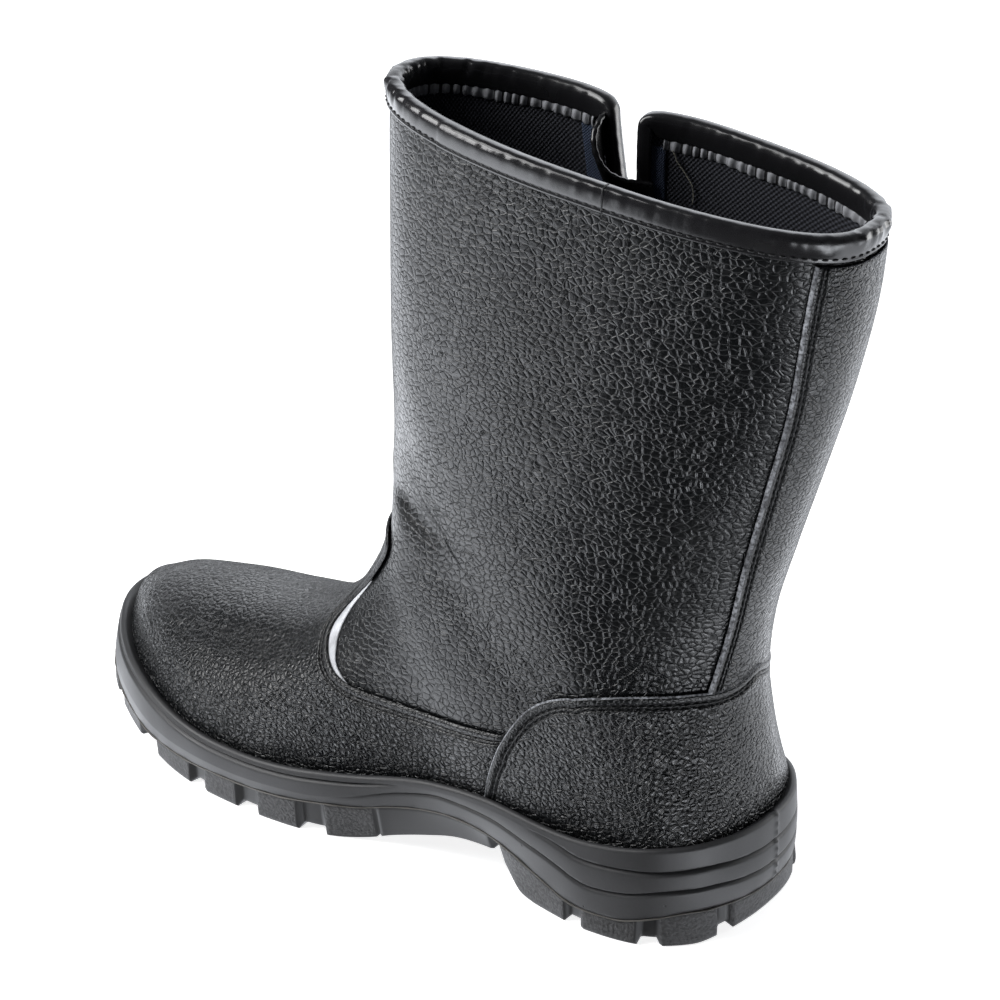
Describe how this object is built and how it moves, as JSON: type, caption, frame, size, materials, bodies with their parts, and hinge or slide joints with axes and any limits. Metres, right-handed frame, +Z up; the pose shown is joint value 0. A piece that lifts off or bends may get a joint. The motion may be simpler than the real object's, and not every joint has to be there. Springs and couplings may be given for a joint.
{
  "type": "safety wellington boot",
  "caption": "Left pull-on safety boot of black grained leather with a bound collar, side slit, heel counter, back strip and a moulded two-layer lugged sole.",
  "frame": {"origin": "on the floor, under the middle of the boot's bounding box", "axes": "+X from heel to toe, +Y to the boot's outer side, +Z up"},
  "size_m": [0.3344, 0.112, 0.2839],
  "materials": {
    "leather": "semi-gloss pebbled grain",
    "binding": "glossy synthetic leather",
    "insert": "pale silvery strip",
    "midsole": "satin moulded foam skin",
    "outsole": "matt stippled moulding",
    "insole": "matt woven",
    "textile": "matt woven"
  },
  "bodies": {
    "root": {"outsole": "outsole", "midsole": "midsole", "insole": "insole", "upper": "leather", "vamp": "leather", "heel_counter": "leather", "back_strip": "leather", "insert_outer": "insert", "insert_inner": "insert", "collar_binding": "binding", "gusset": "textile"}
  },
  "joints": []
}
